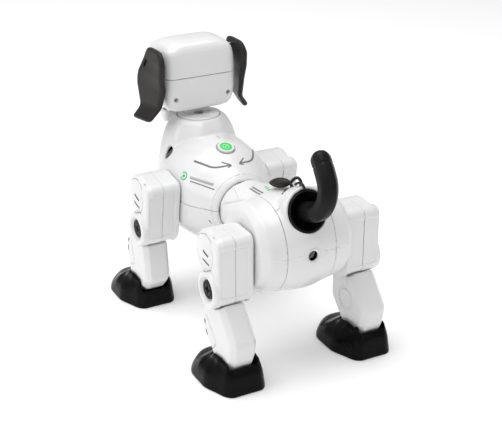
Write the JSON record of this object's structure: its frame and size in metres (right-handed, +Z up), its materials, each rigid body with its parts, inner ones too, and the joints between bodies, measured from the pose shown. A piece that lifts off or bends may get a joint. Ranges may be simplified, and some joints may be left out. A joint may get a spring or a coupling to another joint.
{
  "type": "robot dog toy",
  "caption": "Robot dog toy that stands on four jointed legs, with a panning and nodding head, flop ears, a waist, a touch button and a wagging tail.",
  "frame": {"origin": "on the ground under the middle of the toy's length and width", "axes": "+Z up, -Y the way it faces, +X its left side"},
  "size_m": [0.2038, 0.3194, 0.2739],
  "materials": {
    "white_shell": "glossy white moulded ABS",
    "black_plastic": "glossy black moulding",
    "black_soft": "satin black soft moulding",
    "shoe_black": "satin black moulding",
    "screw_black": "dark moulded screw head",
    "visor": "dark glossy lens",
    "eye_light": "translucent blue lens",
    "button_green": "translucent green lens",
    "tongue_pink": "satin pink",
    "steel": "plated steel",
    "gearbox": "moulded gear case",
    "battery": "shrink-wrapped cells",
    "board": "solder-masked board",
    "speaker_cone": "paper cone and steel frame"
  },
  "bodies": {
    "rear_body": {"saddle_cover": "white_shell", "rump_cover": "white_shell", "left_hip_cover": "white_shell", "right_hip_cover": "white_shell", "tail_socket": "black_plastic", "rear_gearbox": "gearbox", "battery_pack": "battery", "rump_screw": "steel", "waist_pivot": "steel"},
    "front_body": {"chest_top_shell": "white_shell", "chest_bottom_shell": "white_shell", "sensor_windows": "black_plastic", "front_gearbox": "gearbox", "main_board": "board", "speaker": "speaker_cone"},
    "touch_button": {"touch_button": "button_green"},
    "power_switch": {"power_switch": "black_plastic"},
    "neck": {"neck_post": "white_shell"},
    "head": {"head_top_shell": "white_shell", "head_bottom_shell": "white_shell", "head_screws": "steel", "eye_visor": "visor", "eye_lights": "eye_light", "nose": "black_plastic", "jaw": "white_shell", "tongue": "tongue_pink", "ear_pins": "steel"},
    "left_ear": {"ear_left": "black_soft"},
    "right_ear": {"ear_right": "black_soft"},
    "tail": {"tail": "black_soft"},
    "port_plug": {"port_plug": "black_soft"},
    "front_left_thigh": {"front_left_thigh_outer": "white_shell", "front_left_thigh_inner": "white_shell", "front_left_hub_cap": "white_shell", "front_left_hip_shaft": "steel", "front_left_knee_screw": "screw_black"},
    "front_left_shank": {"front_left_shank": "white_shell"},
    "front_left_shoe": {"front_left_shoe": "shoe_black"},
    "front_right_thigh": {"front_right_thigh_outer": "white_shell", "front_right_thigh_inner": "white_shell", "front_right_hub_cap": "white_shell", "front_right_hip_shaft": "steel", "front_right_knee_screw": "screw_black"},
    "front_right_shank": {"front_right_shank": "white_shell"},
    "front_right_shoe": {"front_right_shoe": "shoe_black"},
    "rear_left_thigh": {"rear_left_thigh_outer": "white_shell", "rear_left_thigh_inner": "white_shell", "rear_left_hub_cap": "white_shell", "rear_left_hip_shaft": "steel", "rear_left_knee_screw": "screw_black"},
    "rear_left_shank": {"rear_left_shank": "white_shell"},
    "rear_left_shoe": {"rear_left_shoe": "shoe_black"},
    "rear_right_thigh": {"rear_right_thigh_outer": "white_shell", "rear_right_thigh_inner": "white_shell", "rear_right_hub_cap": "white_shell", "rear_right_hip_shaft": "steel", "rear_right_knee_screw": "screw_black"},
    "rear_right_shank": {"rear_right_shank": "white_shell"},
    "rear_right_shoe": {"rear_right_shoe": "shoe_black"}
  },
  "joints": [
    {"name": "waist_twist", "type": "hinge", "parent": "rear_body", "child": "front_body", "pos_m": [0, 0, 0.124], "axis": [0, 1, 0], "range_deg": [-8, 8]},
    {"name": "touch_button_press", "type": "slide", "parent": "front_body", "child": "touch_button", "axis": [0, -0.3256, -0.9455], "range_m": [0, 0.001], "stiffness_N_per_m": 300, "springref_m": -0.0002},
    {"name": "power_switch_slide", "type": "slide", "parent": "front_body", "child": "power_switch", "axis": [0, 1, 0], "range_m": [0, 0.004]},
    {"name": "neck_pan", "type": "hinge", "parent": "front_body", "child": "neck", "pos_m": [0, -0.099, 0.19], "axis": [0, 0, 1], "range_deg": [-30, 30]},
    {"name": "head_tilt", "type": "hinge", "parent": "neck", "child": "head", "pos_m": [0, -0.108, 0.214], "axis": [1, 0, 0], "range_deg": [-12, 0]},
    {"name": "left_ear_swing", "type": "hinge", "parent": "head", "child": "left_ear", "pos_m": [0.045, -0.108, 0.262], "axis": [1, 0, 0], "range_deg": [-15, 15]},
    {"name": "right_ear_swing", "type": "hinge", "parent": "head", "child": "right_ear", "pos_m": [-0.045, -0.108, 0.262], "axis": [1, 0, 0], "range_deg": [-15, 15]},
    {"name": "tail_wag", "type": "hinge", "parent": "rear_body", "child": "tail", "pos_m": [0, 0.124, 0.166], "axis": [0, 0.9455, 0.3256], "range_deg": [-25, 25]},
    {"name": "port_plug_flip", "type": "hinge", "parent": "rear_body", "child": "port_plug", "pos_m": [0, 0.099, 0.1808], "axis": [1, 0, 0], "range_deg": [-60, 0]},
    {"name": "front_left_hip", "type": "hinge", "parent": "front_body", "child": "front_left_thigh", "pos_m": [0.07, -0.069, 0.12792], "axis": [1, 0, 0], "range_deg": [-30, 30]},
    {"name": "front_left_knee", "type": "hinge", "parent": "front_left_thigh", "child": "front_left_shank", "pos_m": [0.07, -0.06383, 0.0933], "axis": [1, 0, 0], "range_deg": [-25, 25]},
    {"name": "front_left_ankle", "type": "hinge", "parent": "front_left_shank", "child": "front_left_shoe", "pos_m": [0.07, -0.08735, 0.02547], "axis": [1, 0, 0], "range_deg": [-8, 8]},
    {"name": "front_right_hip", "type": "hinge", "parent": "front_body", "child": "front_right_thigh", "pos_m": [-0.07, -0.069, 0.12792], "axis": [1, 0, 0], "range_deg": [-30, 30]},
    {"name": "front_right_knee", "type": "hinge", "parent": "front_right_thigh", "child": "front_right_shank", "pos_m": [-0.07, -0.06383, 0.0933], "axis": [1, 0, 0], "range_deg": [-25, 25]},
    {"name": "front_right_ankle", "type": "hinge", "parent": "front_right_shank", "child": "front_right_shoe", "pos_m": [-0.07, -0.08735, 0.02547], "axis": [1, 0, 0], "range_deg": [-8, 8]},
    {"name": "rear_left_hip", "type": "hinge", "parent": "rear_body", "child": "rear_left_thigh", "pos_m": [0.07, 0.088, 0.129], "axis": [1, 0, 0], "range_deg": [-30, 30]},
    {"name": "rear_left_knee", "type": "hinge", "parent": "rear_left_thigh", "child": "rear_left_shank", "pos_m": [0.07, 0.098, 0.09546], "axis": [1, 0, 0], "range_deg": [-25, 25]},
    {"name": "rear_left_ankle", "type": "hinge", "parent": "rear_left_shank", "child": "rear_left_shoe", "pos_m": [0.07, 0.114, 0.02546], "axis": [1, 0, 0], "range_deg": [-8, 8]},
    {"name": "rear_right_hip", "type": "hinge", "parent": "rear_body", "child": "rear_right_thigh", "pos_m": [-0.07, 0.088, 0.129], "axis": [1, 0, 0], "range_deg": [-30, 30]},
    {"name": "rear_right_knee", "type": "hinge", "parent": "rear_right_thigh", "child": "rear_right_shank", "pos_m": [-0.07, 0.098, 0.09546], "axis": [1, 0, 0], "range_deg": [-25, 25]},
    {"name": "rear_right_ankle", "type": "hinge", "parent": "rear_right_shank", "child": "rear_right_shoe", "pos_m": [-0.07, 0.114, 0.02546], "axis": [1, 0, 0], "range_deg": [-8, 8]}
  ]
}
